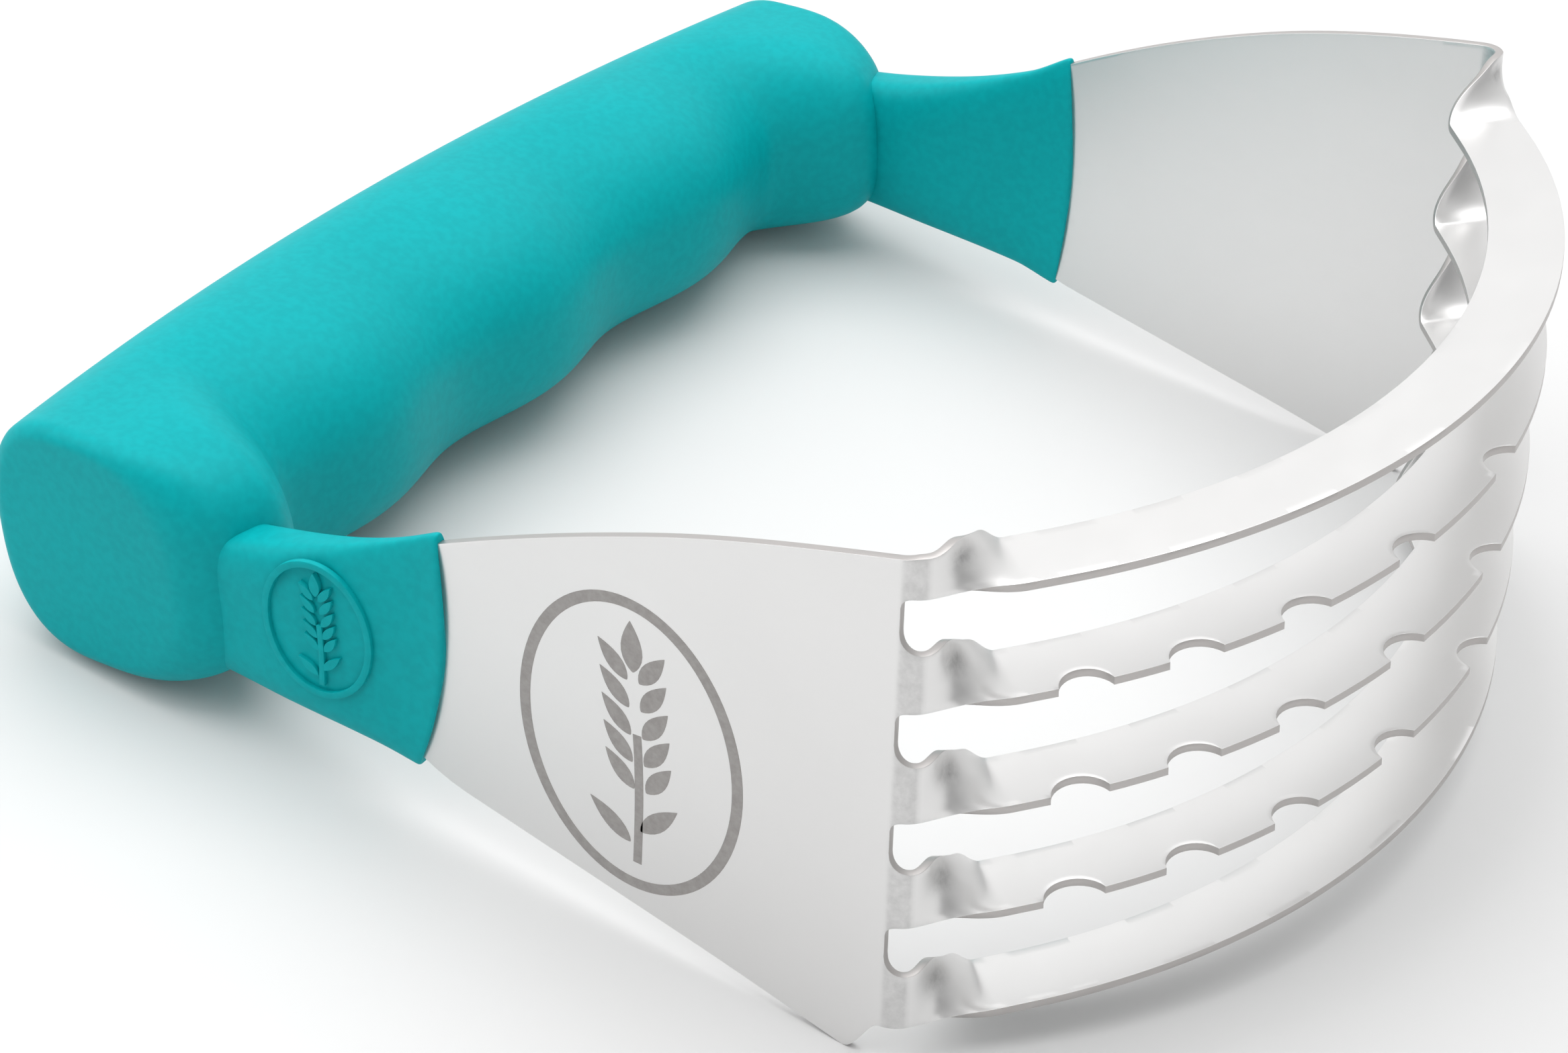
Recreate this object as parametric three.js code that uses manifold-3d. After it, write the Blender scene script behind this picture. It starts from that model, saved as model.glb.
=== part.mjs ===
// Pastry blender: five stamped steel blades between two side plates, gripped by a
// rubber-covered bar handle. Millimetres, +Z up, the tool lying on its side on a table.
//
// Tool frame, used by every piece before the whole tool is tipped onto the table:
// +X points from the handle to the blades, Y runs along the handle, Z is across the
// stack of blades, and Z = 0 is the plane of the middle blade.
import * as THREE from 'three';
import { mergeVertices } from 'three/addons/utils/BufferGeometryUtils.js';
import Module from 'manifold-3d';

// ---- driving dimensions -------------------------------------------------------------
const GAP = 0.3;                // clearance kept between neighbouring pieces

const SHEET = 0.8;              // steel sheet thickness
const BLADE_COUNT = 5;
const BLADE_PITCH = 11.5;       // distance from one blade plane to the next
const BLADE_WIDTH = 7.1;
const ROUND_CENTRE_X = 9.0;     // centre of the blades' round cutting edges
const ROUND_RADIUS = 71.65;     // radius of those outer, cutting edges
const ROUND_END = 40.5;         // degrees: where the round edge runs out into a straight
const STACK_SLANT = 0.06;       // each blade up the stack stands this share further out
const TWIST_LENGTH = 8.5;       // length over which a strip turns from upright to flat
const TWIST_NECK = 0.16;        // it is this much narrower halfway through the turn
const NOTCH_ANGLES = [38.3, 29.5, 20.1, 8.6, -5.4];     // the scallops, degrees towards -Y
const NOTCH_TURN = 0.8;         // they stand this much further round on each blade up
const NOTCH_RADIUS = 2.8;
const NOTCH_DEPTH = 2.1;

const PLATE_Y = 56.5;           // middle of a side plate's sheet, from the centre line
const BEND_RADIUS = 3.0;        // middle of the sheet, where the strips turn inwards
const STRIP_LOW = 0.8;          // an upright strip starts this far above its blade's plane
const STRIP_HIGH = 6.6;         // and ends this far above it
const SLOT_START_X = 53.9;      // blind ends of the slots between the strips
const SLOT_CORNERS = [0.9, 2.2];    // upper and lower corner radii of a blind end
const FLARE_X = 56.0;           // the plate is widest here, where it has this half height,
const FLARE_HALF = 27.8;        // and it narrows towards the handle with this slope
const FLARE_SLOPE = 0.125;      // and this bow
const FLARE_BOW = 0.0037;
const LOWER_EDGE = 12.05;       // the lower edge is straighter: this far down at x = 0,
const LOWER_SLOPE = 0.28;       // with this slope
const CORNER_X = [49.9, 53.8];  // it steps up between these to the lowest strip
const TANG_HALF = 4.6;          // half height of the tang inside the handle
const TANG_END_X = -35.0;
const LOCK_HOLE = { x: -29.5, radius: 2.6 };    // filled by the core's moulded plug

const HANDLE_HALF_LENGTH = 61.7;
const END_ROUNDING = [1.8, 4.5];    // rounded border of the flat end faces, back and front
const BACK_X = -49.4;           // back of the handle at the middle of its length
const BACK_ARCH = 5.4;          // the back comes this much forward at the ends
const BLOCK_FRONT_X = -14.3;    // front of the two end blocks
const BLOCK_CORNER = 4.6;       // which falls back this much towards the end faces,
const BLOCK_CORNER_Y = 44.0;    // starting here
const BLOCK_ZONE = [43.0, 54.0];    // the front rises to a block between these
const RIDGE_FRONT_X = -21.8;    // front of the ridges between the fingers
const GROOVE_DEPTH = 2.5;
const GROOVE_STEP = 28.8;       // distance from one finger groove to the next
const GROOVE_SHOULDER = 0.13;   // the grooves also thin the bar by this share
const HALF_HEIGHT = 12.4;
const CREST = 9.8;              // the bar is thickest this far in front of its back
const BACK_SQUARENESS = 0.78;   // section powers: 1 is an ellipse, towards 0 is a square
const FINGER_SQUARENESS = 0.92; // above, and the fuller lower side
const FINGER_BELLY = 0.7;
const BLOCK_SQUARENESS = 0.62;
const SKIN = 2.4;               // thickness of the soft grip over the core

const SLEEVE_ROOT_X = -21.5;    // inside its socket in the grip
const SLEEVE_END_X = 5.4;
const SLEEVE_END_BOW = 1.8;     // that end bows towards the blades
const SLEEVE_END_LEAN = 1.7;    // and its upper and lower corners lean out and in by this
const SLEEVE_LIP = 0.3;         // raised lip over the plate's edges
const SLEEVE_HALF_THICKNESS = [3.2, 1.4];   // at the handle and at the plate end

const TEAL = 0x10b4b8;
const TEAL_CORE = 0x2a7d82;
const STEEL = 0xd9dadb;

// ---- working with solids --------------------------------------------------------------
const wasm = await Module();
wasm.setup();

/** A closed geometry as a solid that can be joined and cut. */
function solid(geometry) {
  const bare = geometry.clone();
  bare.deleteAttribute('normal');
  bare.deleteAttribute('uv');
  const merged = mergeVertices(bare, 1e-4);
  return new wasm.Manifold(new wasm.Mesh({
    numProp: 3,
    vertProperties: new Float32Array(merged.attributes.position.array),
    triVerts: new Uint32Array(merged.index.array),
  }));
}

/** A solid back as a geometry. */
function geometryOf(manifold) {
  const mesh = manifold.getMesh();
  const geometry = new THREE.BufferGeometry();
  const position = new THREE.BufferAttribute(new Float32Array(mesh.vertProperties), 3);
  geometry.setAttribute('position', position);
  geometry.setIndex(new THREE.BufferAttribute(new Uint32Array(mesh.triVerts), 1));
  return geometry;
}

/** Moves every vertex of a geometry through place(point), which returns a new point. */
function reshape(geometry, place) {
  const position = geometry.attributes.position;
  const point = new THREE.Vector3();
  for (let i = 0; i < position.count; i += 1) {
    point.fromBufferAttribute(position, i);
    const moved = place(point);
    position.setXYZ(i, moved.x, moved.y, moved.z);
  }
  return geometry;
}

/** The same piece for the other side of the tool. */
function mirrored(manifold) {
  return manifold.mirror([0, 1, 0]);
}

const mix = THREE.MathUtils.lerp;

/** 0 before from, 1 after to, and a smooth step between them. */
function step(from, to, value) {
  return THREE.MathUtils.smoothstep(value, from, to);
}

/** A cosine or sine drawn towards a square as the power falls below one. */
function squared(value, power) {
  return Math.sign(value) * Math.abs(value) ** power;
}

// ---- the line the steel follows, seen from above ---------------------------------------
// Straight along the side plate, round the bend, straight on while the strip twists, then
// along the blades' round edge to the centre line. This is the +Y half.
const roundEnd = THREE.MathUtils.degToRad(ROUND_END);
const bendTurn = Math.PI / 2 - roundEnd;
const tangentPoint = new THREE.Vector2(
  ROUND_CENTRE_X + ROUND_RADIUS * Math.cos(roundEnd),
  ROUND_RADIUS * Math.sin(roundEnd),
);
const cornerDistance = (PLATE_Y - tangentPoint.y) / Math.cos(roundEnd);
const bendSetback = BEND_RADIUS * Math.tan(bendTurn / 2);
const bendStartX = tangentPoint.x - cornerDistance * Math.sin(roundEnd) - bendSetback;
const bendLength = BEND_RADIUS * bendTurn;
const straightEnd = bendLength + cornerDistance - bendSetback;
const middleOfBlade = straightEnd + ROUND_RADIUS * roundEnd;

/** Point and outward direction on the line at height z; s = 0 where the bend starts. */
function steelLine(s, z) {
  const line = lineAt(s);
  const head = step(bendStartX - 22, bendStartX, line.x);
  return { ...line, x: line.x + STACK_SLANT * z * head };
}

/** The same on the plane of the middle blade. */
function lineAt(s) {
  if (s <= 0) {
    return { x: bendStartX + s, y: PLATE_Y, outX: 0, outY: 1 };
  }
  if (s <= bendLength) {
    const angle = Math.PI / 2 - s / BEND_RADIUS;
    const outX = Math.cos(angle);
    const outY = Math.sin(angle);
    const x = bendStartX + BEND_RADIUS * outX;
    return { x, y: PLATE_Y - BEND_RADIUS + BEND_RADIUS * outY, outX, outY };
  }
  if (s <= straightEnd) {
    const outX = Math.cos(roundEnd);
    const outY = Math.sin(roundEnd);
    const left = straightEnd - s;
    return { x: tangentPoint.x - left * outY, y: tangentPoint.y + left * outX, outX, outY };
  }
  const angle = roundEnd - (s - straightEnd) / ROUND_RADIUS;
  const outX = Math.cos(angle);
  const outY = Math.sin(angle);
  return { x: ROUND_CENTRE_X + ROUND_RADIUS * outX, y: ROUND_RADIUS * outY, outX, outY };
}

// ---- blades ------------------------------------------------------------------------------
function bladeHeight(index) {
  return ((BLADE_COUNT - 1) / 2 - index) * BLADE_PITCH;
}

/** Upper edge of an upright strip; the topmost one ends at the plate's own edge. */
function stripTop(index) {
  return Math.min(bladeHeight(index) + STRIP_HIGH, FLARE_HALF);
}

/** One blade: a flat strip that twists out of one side plate and back into the other. */
function blade(index) {
  const strip = new THREE.BoxGeometry(2, 1, 1, 64, 1, 1);
  const root = bendLength + GAP / 2;
  reshape(strip, (point) => {
    // Steps crowd towards the two ends, where the strip twists.
    const along = point.x + 0.12 * Math.sin(Math.PI * point.x);
    const s = mix(middleOfBlade, root, Math.abs(along));
    const side = along > 0 ? -1 : 1;
    const flat = step(0, TWIST_LENGTH, s - root);
    const angle = (Math.PI / 2) * flat;
    const line = steelLine(s, bladeHeight(index));
    const neck = 1 - TWIST_NECK * Math.sin(2 * angle) ** 2;
    const width = mix(stripTop(index) - bladeHeight(index) - STRIP_LOW, BLADE_WIDTH, flat) * neck;
    const across = (point.y + 0.5) * width;
    const through = point.z * SHEET;
    const out = -across * Math.sin(angle) - through * Math.cos(angle);
    const up = (across + STRIP_LOW) * Math.cos(angle) - through * Math.sin(angle);
    return new THREE.Vector3(
      line.x + line.outX * out,
      side * (line.y + line.outY * out),
      bladeHeight(index) + up,
    );
  });
  const plain = index === 0 || index === BLADE_COUNT - 1;
  return plain ? solid(strip) : scalloped(solid(strip), bladeHeight(index));
}

/** Cuts the row of round scallops into a blade's outer edge. */
function scalloped(blank, height) {
  let cut = blank;
  const centre = ROUND_RADIUS + NOTCH_RADIUS - NOTCH_DEPTH;
  const turn = NOTCH_TURN * height / BLADE_PITCH;
  for (const notch of NOTCH_ANGLES) {
    const angle = THREE.MathUtils.degToRad(notch + turn);
    const x = ROUND_CENTRE_X + STACK_SLANT * height + centre * Math.cos(angle);
    const punch = new THREE.CylinderGeometry(NOTCH_RADIUS, NOTCH_RADIUS, 3 * SHEET, 24);
    punch.rotateX(Math.PI / 2);
    punch.translate(x, -centre * Math.sin(angle), height);
    cut = cut.subtract(solid(punch));
  }
  return cut;
}

// ---- sleeves' and plates' outlines ---------------------------------------------------------
/** Height of a sleeve's upper edge at x. */
function sleeveTop(x) {
  return 10.95 + 0.37 * x + 0.0065 * x ** 2;
}

/** Depth of its fuller lower edge. */
function sleeveDepth(x) {
  return 12.55 + 0.2 * x + 0.002 * x ** 2;
}

/** Height of a side plate's flared upper edge at x, down to its tang. */
function plateTop(x) {
  const back = Math.max(FLARE_X - x, 0);
  return Math.max(FLARE_HALF - FLARE_SLOPE * back - FLARE_BOW * back ** 2, TANG_HALF);
}

/** Depth of the plate's lower edge: straight, but like the upper one inside its sleeve. */
function plateDepth(x) {
  return mix(plateTop(x), LOWER_EDGE + LOWER_SLOPE * x, step(-4, 8, x));
}

/** The lower edge's height, with the step up to the lowest strip just before the bend. */
function plateBottom(x) {
  const strip = bladeHeight(BLADE_COUNT - 1) + STRIP_LOW;
  return mix(-plateDepth(x), strip, step(CORNER_X[0], CORNER_X[1], x));
}

// ---- side plates ---------------------------------------------------------------------------
/** One side plate, from its tang in the handle to the roots of the strips. */
function sidePlate() {
  const sheet = new THREE.BoxGeometry(1, 1, 1, 72, 2, 1);
  const start = TANG_END_X - bendStartX;
  const end = bendLength - GAP / 2;
  reshape(sheet, (point) => {
    const s = mix(start, end, 1 - (0.5 - point.x) ** 1.3);
    const level = lineAt(s);
    const edge = point.y > 0 ? plateTop(level.x) : plateBottom(level.x);
    const z = point.y === 0 ? 0 : edge;
    const line = steelLine(s, z);
    const out = -point.z * SHEET;
    return new THREE.Vector3(line.x + line.outX * out, line.y + line.outY * out, z);
  });
  let plate = solid(sheet);
  for (let i = 0; i < BLADE_COUNT - 1; i += 1) {
    plate = plate.subtract(slot(stripTop(i + 1), bladeHeight(i) + STRIP_LOW));
  }
  const hole = new THREE.CylinderGeometry(LOCK_HOLE.radius, LOCK_HOLE.radius, 4, 24);
  hole.translate(LOCK_HOLE.x, PLATE_Y, 0);
  return plate.subtract(solid(hole));
}

/** A slot between two strips, blind and round-cornered towards the handle. */
function slot(bottom, top) {
  const [upper, lower] = SLOT_CORNERS;
  const startX = SLOT_START_X + (STACK_SLANT * (bottom + top)) / 2;
  const openX = startX + 14;
  const outline = new THREE.Shape();
  outline.moveTo(openX, bottom);
  outline.lineTo(openX, top);
  outline.lineTo(startX + upper, top);
  outline.quadraticCurveTo(startX, top, startX, top - upper);
  outline.lineTo(startX, bottom + lower);
  outline.quadraticCurveTo(startX, bottom, startX + lower, bottom);
  outline.closePath();
  const options = { depth: 12, bevelEnabled: false, curveSegments: 5 };
  const cutter = new THREE.ExtrudeGeometry(outline, options);
  cutter.rotateX(Math.PI / 2);
  cutter.translate(0, PLATE_Y + 3, 0);
  return solid(cutter);
}

// ---- handle ------------------------------------------------------------------------------
/** 1 on the ridges between the fingers, 0 on the floors of the grooves. */
function ridge(y) {
  return 0.5 + 0.5 * Math.cos((2 * Math.PI * y) / GROOVE_STEP);
}

/** 1 on the end blocks, 0 between them. */
function block(y) {
  return step(BLOCK_ZONE[0], BLOCK_ZONE[1], Math.abs(y));
}

/** Front of the bar: an end block, then ridges and grooves for four fingers. */
function barFront(y) {
  const fingers = RIDGE_FRONT_X - GROOVE_DEPTH * (1 - ridge(y));
  const outward = Math.max(Math.abs(y) - BLOCK_CORNER_Y, 0) / (HANDLE_HALF_LENGTH - BLOCK_CORNER_Y);
  return mix(fingers, BLOCK_FRONT_X - BLOCK_CORNER * outward ** 1.86, block(y));
}

function barBack(y) {
  return BACK_X + BACK_ARCH * (y / HANDLE_HALF_LENGTH) ** 2;
}

/** A point on the bar at y and an angle round it, drawn in by inset on every side. */
function barPoint(y, angle, inset) {
  const crest = barBack(y) + CREST;
  const cos = Math.cos(angle);
  const sin = Math.sin(angle);
  const rounding = mix(END_ROUNDING[0], END_ROUNDING[1], step(0, 1, cos));
  const past = Math.abs(y) - (HANDLE_HALF_LENGTH - inset - rounding);
  const reach = THREE.MathUtils.clamp(past / rounding, 0, 1);
  const draw = inset + rounding * (1 - Math.sqrt(1 - reach ** 2));
  const half = HALF_HEIGHT - draw;
  if (cos < 0) {
    const depth = CREST - draw;
    return {
      x: crest + depth * squared(cos, BACK_SQUARENESS),
      z: half * squared(sin, BACK_SQUARENESS),
    };
  }
  const depth = barFront(y) - crest - draw;
  const power = mix(sin > 0 ? FINGER_SQUARENESS : FINGER_BELLY, BLOCK_SQUARENESS, block(y));
  const shoulder = sin > 0 ? GROOVE_SHOULDER : 0;
  const pinch = 1 - shoulder * (1 - ridge(y)) * (1 - block(y)) * cos;
  return { x: crest + depth * squared(cos, power), z: half * squared(sin, power) * pinch };
}

/** The whole bar, drawn in by inset on every side, with flat end faces. */
function bar(inset, around, along) {
  const cylinder = new THREE.CylinderGeometry(1, 1, 2, around, along);
  const length = HANDLE_HALF_LENGTH - inset;
  const straight = 1 - 8 / along;
  return solid(reshape(cylinder, (point) => {
    const radius = Math.hypot(point.x, point.z);
    const t = Math.abs(point.y);
    const turn = (Math.max(t - straight, 0) / (1 - straight)) * (Math.PI / 2);
    const plainPart = Math.min(t / straight, 1) * (length - END_ROUNDING[1]);
    const y = Math.sign(point.y) * (plainPart + END_ROUNDING[1] * Math.sin(turn));
    const rim = barPoint(y, Math.atan2(point.z, point.x), inset);
    return new THREE.Vector3(mix(barBack(y) + CREST, rim.x, radius), y, rim.z * radius);
  }));
}

/** The soft grip: a shell over the core, open where the two sleeves come out. */
function gripSkin() {
  const shell = bar(0, 36, 48).subtract(bar(SKIN, 24, 24));
  const socket = sleeveForm(GAP, SLEEVE_ROOT_X - 6);
  return shell.subtract(socket).subtract(mirrored(socket));
}

/** The hard core, with a slot and a moulded plug for each tang. */
function handleCore() {
  const length = 60;
  const opening = new THREE.BoxGeometry(length, SHEET + 2 * GAP, 2 * (TANG_HALF + GAP));
  opening.translate(TANG_END_X - GAP + length / 2, PLATE_Y, 0);
  const radius = LOCK_HOLE.radius - GAP;
  const plug = new THREE.CylinderGeometry(radius, radius, 3, 24);
  plug.translate(LOCK_HOLE.x, PLATE_Y, 0);
  const pocket = solid(opening).subtract(solid(plug));
  const recess = sleeveForm(GAP, SLEEVE_ROOT_X - GAP);
  return bar(SKIN + GAP, 24, 24)
    .subtract(pocket)
    .subtract(mirrored(pocket))
    .subtract(recess)
    .subtract(mirrored(recess));
}

// ---- sleeves -----------------------------------------------------------------------------
/** The outer form of a sleeve, grown by margin, from startX to its bowed end. */
function sleeveForm(margin, startX) {
  const form = new THREE.CylinderGeometry(1, 1, 2, 28, 14);
  form.rotateZ(-Math.PI / 2);
  return solid(reshape(form, (point) => {
    const angle = Math.atan2(point.z, point.y);
    const radius = Math.hypot(point.y, point.z);
    const acrossY = squared(Math.cos(angle), 0.4) * radius;
    const acrossZ = squared(Math.sin(angle), 0.4) * radius;
    const bow = SLEEVE_END_BOW * (1 - acrossZ ** 2) + SLEEVE_END_LEAN * acrossZ;
    const end = SLEEVE_END_X + bow + margin;
    const along = (point.x + 1) / 2;
    const x = mix(startX, end, along);
    const outward = step(BLOCK_FRONT_X, SLEEVE_END_X, x);
    const halfY = mix(SLEEVE_HALF_THICKNESS[0], SLEEVE_HALF_THICKNESS[1], outward) + margin;
    const edge = point.z > 0 ? sleeveTop(x) : sleeveDepth(x);
    const halfZ = edge + SLEEVE_LIP * step(0.88, 1.0, along) + margin;
    return new THREE.Vector3(x, PLATE_Y + acrossY * halfY, acrossZ * halfZ);
  }));
}

/** One sleeve, with the passage that its plate runs through. */
function sleeve() {
  const passage = new THREE.BoxGeometry(1, 1, 1, 40, 1, 1);
  reshape(passage, (point) => {
    const x = mix(SLEEVE_ROOT_X - 4, SLEEVE_END_X + 5, point.x + 0.5);
    const edge = point.z > 0 ? plateTop(x + GAP) : plateDepth(x + GAP);
    const z = 2 * point.z * (edge + GAP);
    return new THREE.Vector3(x, PLATE_Y + point.y * (SHEET + 2 * GAP), z);
  });
  return sleeveForm(0, SLEEVE_ROOT_X).subtract(solid(passage));
}

// ---- assembly ------------------------------------------------------------------------------
function piece(name, manifold, colour, roughness, metalness) {
  const material = new THREE.MeshStandardMaterial({ color: colour, roughness, metalness });
  const mesh = new THREE.Mesh(geometryOf(manifold), material);
  mesh.name = name;
  return mesh;
}

function build() {
  const tool = new THREE.Group();
  for (let i = 0; i < BLADE_COUNT; i += 1) {
    tool.add(piece(`blade_${i + 1}`, blade(i), STEEL, 0.28, 1.0));
  }
  const plate = sidePlate();
  tool.add(piece('side_plate_left', mirrored(plate), STEEL, 0.28, 1.0));
  tool.add(piece('side_plate_right', plate, STEEL, 0.28, 1.0));
  const cover = sleeve();
  tool.add(piece('sleeve_left', mirrored(cover), TEAL, 0.62, 0.0));
  tool.add(piece('sleeve_right', cover, TEAL, 0.62, 0.0));
  tool.add(piece('handle_core', handleCore(), TEAL_CORE, 0.5, 0.0));
  tool.add(piece('grip_skin', gripSkin(), TEAL, 0.62, 0.0));
  return tool;
}

/** Lowest height that a named piece reaches when the tool is tipped by an angle. */
function lowest(tool, name, angle) {
  const position = tool.getObjectByName(name).geometry.attributes.position;
  let low = Infinity;
  for (let i = 0; i < position.count; i += 1) {
    const height = position.getX(i) * Math.sin(angle) + position.getZ(i) * Math.cos(angle);
    low = Math.min(low, height);
  }
  return low;
}

/** The angle at which the handle and the plates' lower corners touch the table together. */
function restingAngle(tool) {
  let low = 0;
  let high = Math.PI / 6;
  for (let i = 0; i < 40; i += 1) {
    const angle = (low + high) / 2;
    const plateIsLower = lowest(tool, 'side_plate_left', angle) < lowest(tool, 'grip_skin', angle);
    low = plateIsLower ? angle : low;
    high = plateIsLower ? high : angle;
  }
  return (low + high) / 2;
}

/** Tips the tool to rest, with the middle of its underside at the origin. */
function laidDown(tool) {
  tool.rotation.y = -restingAngle(tool);
  const placed = new THREE.Group();
  placed.add(tool);
  placed.updateMatrixWorld(true);
  const box = new THREE.Box3().setFromObject(placed, true);
  placed.position.set(-(box.min.x + box.max.x) / 2, -(box.min.y + box.max.y) / 2, -box.min.z);
  return placed;
}

export default laidDown(build());
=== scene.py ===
"""Looks of the pastry blender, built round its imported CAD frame.

Shapes are made in millimetres in the tool frame: +X points from the handle to the blades,
Y runs along the handle, Z is across the stack of blades, and Z = 0 is the middle blade's
plane. tool_to_row() then lays them on the table where the CAD frame lies.
"""
import math

import bmesh
import bpy
import numpy as np
from mathutils import Matrix, Vector


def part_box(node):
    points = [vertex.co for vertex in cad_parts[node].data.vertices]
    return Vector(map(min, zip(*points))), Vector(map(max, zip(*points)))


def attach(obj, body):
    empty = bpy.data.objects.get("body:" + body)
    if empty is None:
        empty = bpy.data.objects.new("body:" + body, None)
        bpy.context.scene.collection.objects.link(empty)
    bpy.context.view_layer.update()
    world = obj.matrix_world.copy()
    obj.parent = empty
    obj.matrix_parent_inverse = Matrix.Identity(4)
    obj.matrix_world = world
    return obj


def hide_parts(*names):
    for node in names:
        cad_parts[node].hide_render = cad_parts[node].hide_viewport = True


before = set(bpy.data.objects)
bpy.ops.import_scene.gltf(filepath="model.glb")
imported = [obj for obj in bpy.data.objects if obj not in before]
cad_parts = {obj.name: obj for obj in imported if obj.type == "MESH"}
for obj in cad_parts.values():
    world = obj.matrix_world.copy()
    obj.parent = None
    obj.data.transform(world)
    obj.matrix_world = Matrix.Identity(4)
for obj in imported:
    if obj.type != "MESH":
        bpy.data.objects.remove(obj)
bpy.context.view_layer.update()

# ---- driving dimensions, millimetres in the tool frame ---------------------------------
SHEET = 0.8
BLADE_COUNT = 5
BLADE_PITCH = 11.5
BLADE_WIDTH = 7.1
ROUND_CENTRE_X = 9.0
ROUND_RADIUS = 71.65
ROUND_END = math.radians(40.5)
STACK_SLANT = 0.06              # the stack leans out by this share of its height,
SLANT_REACH = 22.0              # a lean that fades in over this length before the bend
LEVEL_LENGTH = 3.0              # past the bend, a strip's lean is that of its plane from here
TWIST_LENGTH = 8.5
TWIST_NECK = 0.16
NOTCH_ANGLES = [math.radians(angle) for angle in (38.3, 29.5, 20.1, 8.6, -5.4)]     # towards -Y
NOTCH_TURN = math.radians(0.8)  # and this much further round on each blade up
NOTCH_RADIUS = 2.8
NOTCH_DEPTH = 2.1

PLATE_Y = 56.5
PLATE_START_X = -13.0           # hidden inside the sleeve
BEND_RADIUS = 3.0
STRIP_LOW = 0.8
STRIP_HIGH = 6.6
SLOT_START_X = 53.9
SLOT_CORNERS = (0.9, 2.2)       # upper and lower corner radii of a slot's blind end
CUT_HALF_GAP = 0.15             # the CAD plate ends this far short of the end of the bend
FLARE_X = 56.0                  # the plate is widest here
FLARE_HALF = 27.8
FLARE = (FLARE_HALF, 0.125, 0.0037)     # half height there, slope and bow towards the handle
FLARES = {                      # the same of the two upper edges as bent
    -1: (27.98, 0.199, 0.00218),
    1: (27.3, 0.075, 0.0041),
}
LOWER_EDGE = 12.05
LOWER_SLOPE = 0.28
LOWER_ZONE = (-4.0, 8.0)        # the lower edge turns straight between these
CORNER_X = (49.9, 53.8)         # and steps up to the lowest strip between these
DIMPLE_PLACE = (2.8, 0.66)      # past the bend, and share of the strip's width
DIMPLE_SIZE = (1.15, 0.2)
DIMPLE_DEPTH = 0.3

HANDLE_HALF_LENGTH = 61.7
END_ROUNDING = (1.6, 4.5)       # at the back and at the front of an end face
BACK_X = -49.4
BACK_ARCH = 5.4
BLOCK_FRONT_X = -14.3
BLOCK_ZONE = (43.0, 54.0)
BLOCK_CORNER = 4.6              # the block's front falls back this much towards its end
BLOCK_CORNER_Y = 44.0
BLOCK_CORNER_POWER = 1.86
RIDGE_FRONT_X = -21.8
GROOVE_DEPTH = 2.5
GROOVE_STEP = 28.8
GROOVE_SHOULDER = 0.13
HALF_HEIGHT = 12.4
CREST = 9.8
BACK_SQUARENESS = 0.78
FINGER_SQUARENESS = 0.92
FINGER_BELLY = 0.7
BLOCK_SQUARENESS = 0.62
TAPER = 0.014                   # the moulding is slimmer towards its +Y end by this share,
TILT = 0.016                    # and sits lower there by this one

SLEEVE_ROOT_X = -20.5
SLEEVE_ENDS = {                 # plate end: its x, its bow, its corners' lean, and its lip
    -1: (4.7, 1.9, 2.35, 0.15),
    1: (6.5, 1.3, 0.8, 0.6),
}
SLEEVE_HALF_THICKNESS = (3.2, 1.05)     # at the block and at the plate
SLEEVE_THIN_X = 6.0
SLEEVE_TOP = (10.95, 0.37, 0.0065)      # half height above at x = 0, slope and bow
SLEEVE_DEPTH = (12.55, 0.2, 0.002)      # and below
SLEEVE_SQUARENESS = 0.56
SLEEVE_LIP_START = 0.8          # shares of a sleeve's length where its lip starts
SLEEVE_EDGE_START = 0.978       # and where its end starts to round,
SLEEVE_EDGE_ROUNDING = 0.3      # by this much

PLATE_MARK_AT = (27.0, -1.5)
PLATE_MARK_SIZE = (24.0, 32.0, 1.15)    # width, height and line width
PLATE_MARK_HEIGHT = 0.02
SLEEVE_MARK_AT = (-6.6, 0.4)
SLEEVE_MARK_SIZE = (11.6, 15.0, 0.68)
SLEEVE_MARK_HEIGHT = 0.38
MARK_ROOT = 0.15                # how far a mark reaches below the surface it lies on

STRIP_ROWS = 8                  # mesh cells across a strip
SLOT_ROWS = 4                   # and across a slot, where the plate is still whole
SAME_PLACE = 1e-6


# ---- small helpers -----------------------------------------------------------------------
def mix(a, b, share):
    return a + (b - a) * share


def mix_point(a, b, share):
    return tuple(mix(p, q, share) for p, q in zip(a, b))


def step(start, end, value):
    """0 before start, 1 after end, and smooth between."""
    share = min(max((value - start) / (end - start), 0.0), 1.0)
    return share * share * (3.0 - 2.0 * share)


def squared(value, power):
    """A power that keeps the sign: under 1, it makes a round section squarer."""
    return math.copysign(abs(value) ** power, value)


# ---- the line the steel follows ------------------------------------------------------------
BEND_TURN = math.pi / 2 - ROUND_END
TANGENT_X = ROUND_CENTRE_X + ROUND_RADIUS * math.cos(ROUND_END)
TANGENT_Y = ROUND_RADIUS * math.sin(ROUND_END)
CORNER_DISTANCE = (PLATE_Y - TANGENT_Y) / math.cos(ROUND_END)
BEND_SETBACK = BEND_RADIUS * math.tan(BEND_TURN / 2)
BEND_START_X = TANGENT_X - CORNER_DISTANCE * math.sin(ROUND_END) - BEND_SETBACK
BEND_LENGTH = BEND_RADIUS * BEND_TURN
STRAIGHT_END = BEND_LENGTH + CORNER_DISTANCE - BEND_SETBACK
MIDDLE = STRAIGHT_END + ROUND_RADIUS * ROUND_END


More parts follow.
